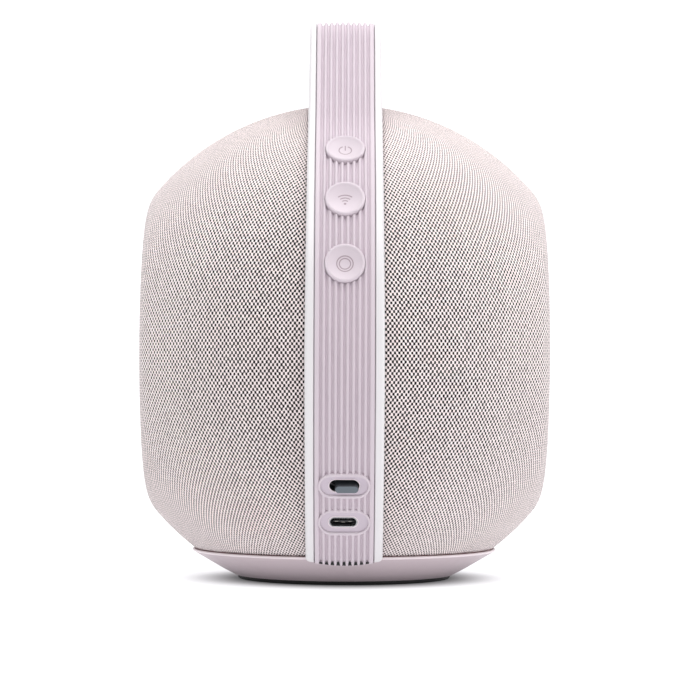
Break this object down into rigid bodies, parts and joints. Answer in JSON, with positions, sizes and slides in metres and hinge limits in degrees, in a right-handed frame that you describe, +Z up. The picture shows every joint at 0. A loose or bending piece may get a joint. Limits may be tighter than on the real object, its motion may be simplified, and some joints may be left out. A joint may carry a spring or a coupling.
{
  "type": "portable speaker",
  "caption": "Splash-proof portable speaker: a fabric-covered ball with flattened sides in an upright hoop that forms the carrying handle and holds the rear controls.",
  "frame": {"origin": "on the floor, under the middle of the ball", "axes": "+Z up; -Y is the rear with the buttons and the charging socket; +X is to the right as seen from the rear; the woofers fire along -X and +X"},
  "size_m": [0.1362, 0.1756, 0.1875],
  "materials": {
    "fabric": "soft knitted cover, pale pink",
    "frame": "satin white",
    "rubber": "soft matte, pale mauve pink",
    "base": "satin mauve",
    "black_rubber": "matte black",
    "grey_plastic": "satin blue grey",
    "black_plastic": "matte black",
    "cone": "satin",
    "steel": "plain",
    "board": "green solder mask",
    "heatsink": "matte extruded",
    "battery": "blue shrink sleeve"
  },
  "bodies": {
    "speaker_body": {"amplifier_board": "board", "amplifier_heatsink": "heatsink", "base_cup": "base", "base_screw_1": "steel", "base_screw_2": "steel", "base_screw_3": "steel", "base_screw_4": "steel", "battery_cradle": "black_plastic", "battery_pack": "battery", "board_tray": "black_plastic", "cabinet_left": "black_plastic", "cabinet_right": "black_plastic", "chassis_ring": "black_plastic", "fabric_left": "fabric", "fabric_right": "fabric", "floor_plate": "black_plastic", "foot_ring": "black_rubber", "fullrange_basket_front_left": "black_plastic", "fullrange_basket_front_right": "black_plastic", "fullrange_basket_rear_left": "black_plastic", "fullrange_basket_rear_right": "black_plastic", "fullrange_magnet_front_left": "steel", "fullrange_magnet_front_right": "steel", "fullrange_magnet_rear_left": "steel", "fullrange_magnet_rear_right": "steel", "grille_left": "black_plastic", "grille_right": "black_plastic", "grip_strip": "rubber", "handle_frame": "frame", "hoop_screw_front_high": "steel", "hoop_screw_front_low": "steel", "hoop_screw_rear_high": "steel", "hoop_screw_rear_low": "steel", "link_dome_switch": "black_plastic", "mic_switch_body": "black_plastic", "microphone_left": "steel", "microphone_right": "steel", "pairing_dome_switch": "black_plastic", "power_dome_switch": "black_plastic", "rear_flex_board": "board", "top_touch_panel": "rubber", "touch_board": "board", "usb_c_shell": "steel", "usb_c_tongue": "black_plastic", "woofer_basket_left": "steel", "woofer_basket_right": "steel", "woofer_magnet_left": "steel", "woofer_magnet_right": "steel", "woofer_surround_left": "black_rubber", "woofer_surround_right": "black_rubber"},
    "power_button": {"power_button": "rubber"},
    "pairing_button": {"pairing_button": "rubber"},
    "link_button": {"link_button": "rubber"},
    "mic_switch_knob": {"mic_switch_knob": "grey_plastic"},
    "woofer_cone_left": {"woofer_cone_left": "cone"},
    "woofer_cone_right": {"woofer_cone_right": "cone"},
    "fullrange_cone_rear_left": {"fullrange_cone_rear_left": "cone"},
    "fullrange_cone_rear_right": {"fullrange_cone_rear_right": "cone"},
    "fullrange_cone_front_left": {"fullrange_cone_front_left": "cone"},
    "fullrange_cone_front_right": {"fullrange_cone_front_right": "cone"}
  },
  "joints": [
    {"name": "power_press", "type": "slide", "parent": "speaker_body", "child": "power_button", "axis": [0, 0.682, -0.7314], "range_m": [0, 0.0006], "stiffness_N_per_m": 600},
    {"name": "pairing_press", "type": "slide", "parent": "speaker_body", "child": "pairing_button", "axis": [0, 0.8406, -0.5417], "range_m": [0, 0.0006], "stiffness_N_per_m": 600},
    {"name": "link_press", "type": "slide", "parent": "speaker_body", "child": "link_button", "axis": [0, 0.9516, -0.3074], "range_m": [0, 0.0006], "stiffness_N_per_m": 600},
    {"name": "mic_switch_slide", "type": "slide", "parent": "speaker_body", "child": "mic_switch_knob", "axis": [-1, 0, 0], "range_m": [0, 0.0015]},
    {"name": "woofer_left_stroke", "type": "slide", "parent": "speaker_body", "child": "woofer_cone_left", "axis": [-1, 0, 0], "range_m": [-0.004, 0.004], "stiffness_N_per_m": 1500},
    {"name": "woofer_right_stroke", "type": "slide", "parent": "speaker_body", "child": "woofer_cone_right", "axis": [1, 0, 0], "range_m": [-0.004, 0.004], "stiffness_N_per_m": 1500},
    {"name": "fullrange_rear_left_stroke", "type": "slide", "parent": "speaker_body", "child": "fullrange_cone_rear_left", "axis": [-0.5, -0.866, 0], "range_m": [-0.001, 0.001], "stiffness_N_per_m": 1200},
    {"name": "fullrange_rear_right_stroke", "type": "slide", "parent": "speaker_body", "child": "fullrange_cone_rear_right", "axis": [0.5, -0.866, 0], "range_m": [-0.001, 0.001], "stiffness_N_per_m": 1200},
    {"name": "fullrange_front_left_stroke", "type": "slide", "parent": "speaker_body", "child": "fullrange_cone_front_left", "axis": [-0.5, 0.866, 0], "range_m": [-0.001, 0.001], "stiffness_N_per_m": 1200},
    {"name": "fullrange_front_right_stroke", "type": "slide", "parent": "speaker_body", "child": "fullrange_cone_front_right", "axis": [0.5, 0.866, 0], "range_m": [-0.001, 0.001], "stiffness_N_per_m": 1200}
  ],
  "couplings": [
    {"joint": "woofer_right_stroke", "follows": "woofer_left_stroke", "ratio": 1}
  ]
}
